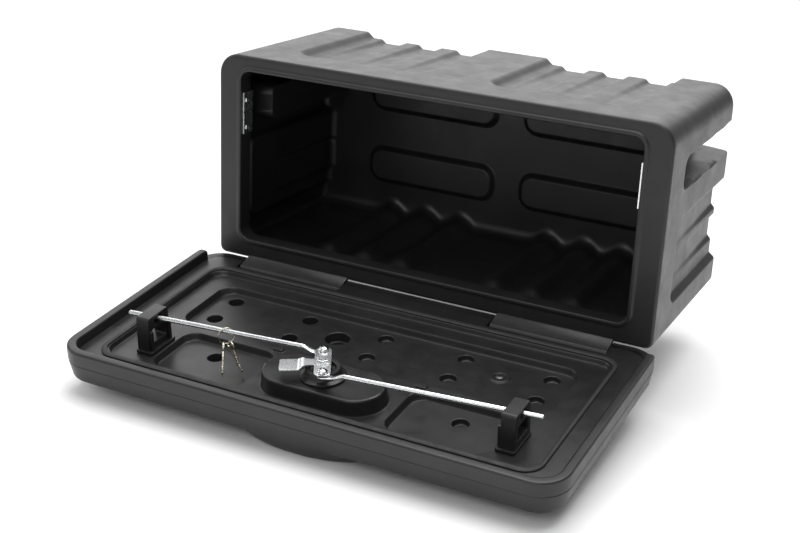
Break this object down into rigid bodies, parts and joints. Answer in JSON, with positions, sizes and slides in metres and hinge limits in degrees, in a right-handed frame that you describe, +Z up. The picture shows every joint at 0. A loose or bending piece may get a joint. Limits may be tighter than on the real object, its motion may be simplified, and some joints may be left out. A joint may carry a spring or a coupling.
{
  "type": "truck tool box",
  "caption": "Black moulded truck tool box with a drop-down lid, a turning latch with lock rods, and a pair of keys.",
  "frame": {"origin": "centre of the flat web in the middle of the body's rear face", "axes": "+X to the right seen from the open front, +Y to the back, away from the opening, +Z up"},
  "size_m": [0.648, 0.6043, 0.3616],
  "materials": {
    "black_plastic": "satin, fine grain",
    "liner_plastic": "satin",
    "guide_plastic": "matte",
    "rubber": "matte",
    "zinc": "bright zinc plated",
    "chrome": "polished",
    "steel": "plain",
    "nickel": "nickel plated"
  },
  "bodies": {
    "body": {"body_shell": "black_plastic", "strike_plate_right": "zinc", "strike_plate_left": "zinc", "strike_screw_right_lower": "chrome", "strike_screw_left_lower": "chrome", "strike_screw_right_upper": "chrome", "strike_screw_left_upper": "chrome", "hinge_pin_right": "steel", "hinge_pin_left": "steel"},
    "lid": {"lid_outer_panel": "black_plastic", "lid_inner_panel": "liner_plastic", "lid_seal": "rubber", "rod_guide_right": "guide_plastic", "rod_guide_left": "guide_plastic", "lid_panel_screw": "zinc", "spindle_bushing": "guide_plastic"},
    "latch": {"latch_handle": "black_plastic", "lock_cylinder": "chrome", "latch_spindle": "steel", "latch_plate": "zinc", "spindle_nut": "zinc", "pivot_screw_right": "chrome", "pivot_screw_left": "chrome"},
    "plug": {"lock_plug": "nickel"},
    "right_rod": {"lock_rod_right": "zinc"},
    "left_rod": {"lock_rod_left": "zinc"},
    "ring": {"key_ring": "nickel"},
    "first_key": {"key_1": "nickel"},
    "second_key": {"key_2": "nickel"}
  },
  "joints": [
    {"name": "lid_hinge", "type": "hinge", "parent": "body", "child": "lid", "pos_m": [0, -0.2877, -0.1514], "axis": [-1, 0, 0], "range_deg": [0, 96.4]},
    {"name": "latch_turn", "type": "hinge", "parent": "lid", "child": "latch", "pos_m": [0, -0.51904, -0.1667], "axis": [0, -0.112, 0.9937], "range_deg": [0, 61.7]},
    {"name": "key_turn", "type": "hinge", "parent": "latch", "child": "plug", "pos_m": [0, -0.51568, -0.19652], "axis": [0, -0.112, 0.9937], "range_deg": [0, 90]},
    {"name": "right_rod_pivot", "type": "hinge", "parent": "latch", "child": "right_rod", "pos_m": [0.01199, -0.54445, -0.14018], "axis": [0, -0.112, 0.9937], "range_deg": [-67.4, 0]},
    {"name": "left_rod_pivot", "type": "hinge", "parent": "latch", "child": "left_rod", "pos_m": [-0.01199, -0.50018, -0.13519], "axis": [0, -0.112, 0.9937], "range_deg": [-67.4, 0]},
    {"name": "ring_swing", "type": "hinge", "parent": "left_rod", "child": "ring", "pos_m": [-0.13798, -0.51305, -0.13181], "axis": [-0.9952, -0.0975, -0.011], "range_deg": [0, 10]},
    {"name": "first_key_swing", "type": "hinge", "parent": "ring", "child": "first_key", "pos_m": [-0.14017, -0.51565, -0.14736], "axis": [-0.606, -0.7222, 0.3333], "range_deg": [0, 10]},
    {"name": "second_key_swing", "type": "hinge", "parent": "ring", "child": "second_key", "pos_m": [-0.13579, -0.51045, -0.14736], "axis": [-0.606, -0.7222, -0.3333], "range_deg": [0, 10]}
  ],
  "couplings": [
    {"joint": "right_rod_pivot", "follows": "latch_turn", "ratio": -1.0912},
    {"joint": "left_rod_pivot", "follows": "latch_turn", "ratio": -1.0912}
  ]
}
